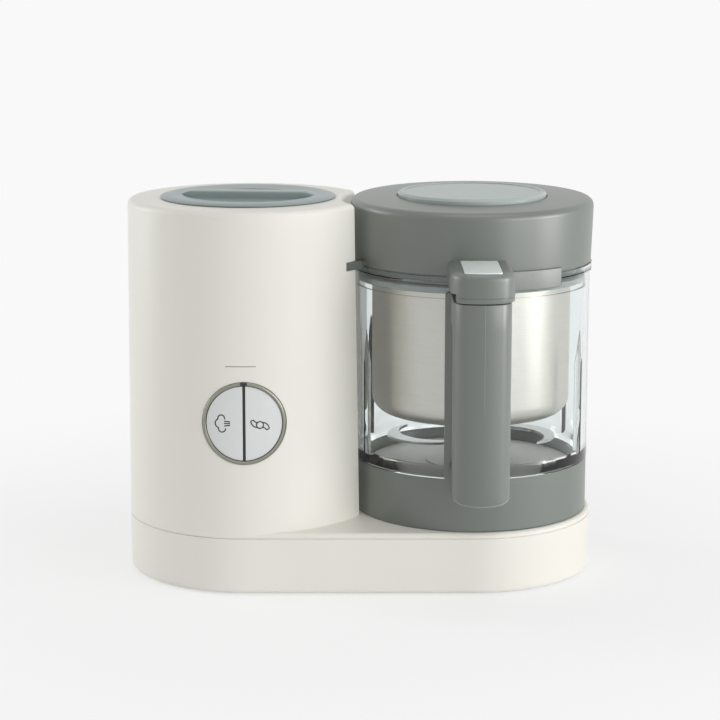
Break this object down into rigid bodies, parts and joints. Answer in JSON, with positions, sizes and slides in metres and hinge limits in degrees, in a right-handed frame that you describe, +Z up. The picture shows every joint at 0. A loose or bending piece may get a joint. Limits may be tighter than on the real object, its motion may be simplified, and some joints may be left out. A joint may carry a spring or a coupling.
{
  "type": "baby food maker",
  "caption": "Baby food maker with a steam tower and water tank beside a glass blending jug that has a lid, a steel steaming basket, a turning blade and a handle.",
  "frame": {"origin": "bottom centre of the bounding box, on the table under the feet", "axes": "+X from the tower to the jug, +Y to the back where the cord gland is, +Z up; the handle points to -Y"},
  "size_m": [0.2922, 0.2064, 0.2388],
  "materials": {
    "bezel_metal": "satin olive grey",
    "black_plastic": "matt black",
    "black_rubber": "matt black",
    "blade_steel": "polished",
    "board": "lacquered board",
    "body": "satin warm white",
    "brass": "plain",
    "button_plastic": "satin cool grey",
    "cap_plastic": "satin blue grey",
    "disc_plastic": "satin pale blue grey",
    "glass": "clear",
    "green_plastic": "satin grey green",
    "lens": "glossy dark",
    "silicone": "translucent white",
    "steel": "brushed"
  },
  "bodies": {
    "housing": {"base_tub": "body", "foot_1": "black_rubber", "foot_2": "black_rubber", "foot_3": "black_rubber", "foot_4": "black_rubber", "base_screw_1": "steel", "base_screw_2": "steel", "base_screw_3": "steel", "base_screw_4": "steel", "cord_gland": "black_rubber", "upper_housing": "body", "boiler_tank": "steel", "heating_element": "brass", "thermostat": "steel", "steam_pipe": "steel", "steam_nozzle": "silicone", "control_bezel": "bezel_metal", "status_light": "lens", "control_board": "board", "steam_switch": "black_plastic", "blend_switch": "black_plastic", "interlock_latch": "green_plastic", "motor_mount": "black_rubber", "motor_body": "steel"},
    "drive": {"motor_shaft": "steel", "drive_coupling": "black_plastic"},
    "steam_key": {"steam_button": "button_plastic"},
    "blend_key": {"blend_button": "button_plastic"},
    "cap": {"tank_cap": "cap_plastic", "tank_seal": "silicone"},
    "jug": {"jug_base_ring": "green_plastic", "jug_glass": "glass", "handle_rail": "green_plastic", "handle_grip": "green_plastic", "handle_screw_1": "steel", "handle_screw_2": "steel", "shaft_bushing": "steel", "lock_nut": "brass", "blade_plate": "steel"},
    "blades": {"driven_coupling": "black_plastic", "blade_shaft": "steel", "blade": "blade_steel", "blade_hub": "blade_steel"},
    "basket": {"basket": "steel", "basket_rim": "cap_plastic"},
    "lid_carrier": {"lid_seal": "silicone"},
    "lid": {"lid_shell": "green_plastic"},
    "disc": {"lid_disc": "disc_plastic"},
    "latch": {"latch_button": "cap_plastic"}
  },
  "joints": [
    {"name": "drive_spin", "type": "hinge", "parent": "housing", "child": "drive", "pos_m": [0.0697, 0.0228, 0.04], "axis": [0, 0, 1], "continuous": true},
    {"name": "steam_press", "type": "slide", "parent": "housing", "child": "steam_key", "axis": [0, 1, 0], "range_m": [0, 0.0015], "stiffness_N_per_m": 600, "springref_m": -0.001},
    {"name": "blend_press", "type": "slide", "parent": "housing", "child": "blend_key", "axis": [0, 1, 0], "range_m": [0, 0.0015], "stiffness_N_per_m": 600, "springref_m": -0.001},
    {"name": "cap_lift", "type": "slide", "parent": "housing", "child": "cap", "axis": [0, 0, 1], "range_m": [0, 0.06]},
    {"name": "jug_lift", "type": "slide", "parent": "housing", "child": "jug", "axis": [0, 0, 1], "range_m": [0, 0.22]},
    {"name": "blade_spin", "type": "hinge", "parent": "jug", "child": "blades", "pos_m": [0.0697, 0.0228, 0.08], "axis": [0, 0, 1], "continuous": true},
    {"name": "lid_lift", "type": "slide", "parent": "jug", "child": "lid_carrier", "axis": [0, 0, 1], "range_m": [0, 0.26]},
    {"name": "lid_turn", "type": "hinge", "parent": "lid_carrier", "child": "lid", "pos_m": [0.0697, 0.0228, 0.2], "axis": [0, 0, 1], "range_deg": [0, 30]},
    {"name": "disc_lift", "type": "slide", "parent": "lid", "child": "disc", "axis": [0, 0, 1], "range_m": [0, 0.05]},
    {"name": "latch_press", "type": "slide", "parent": "lid", "child": "latch", "axis": [0, 0, -1], "range_m": [0, 0.0024], "stiffness_N_per_m": 500, "springref_m": -0.001},
    {"name": "basket_lift", "type": "slide", "parent": "jug", "child": "basket", "axis": [0, 0, 1], "range_m": [0, 0.13]}
  ],
  "couplings": [
    {"joint": "blade_spin", "follows": "drive_spin", "ratio": 1},
    {"joint": "basket_lift", "follows": "lid_lift", "ratio": 0.5}
  ]
}
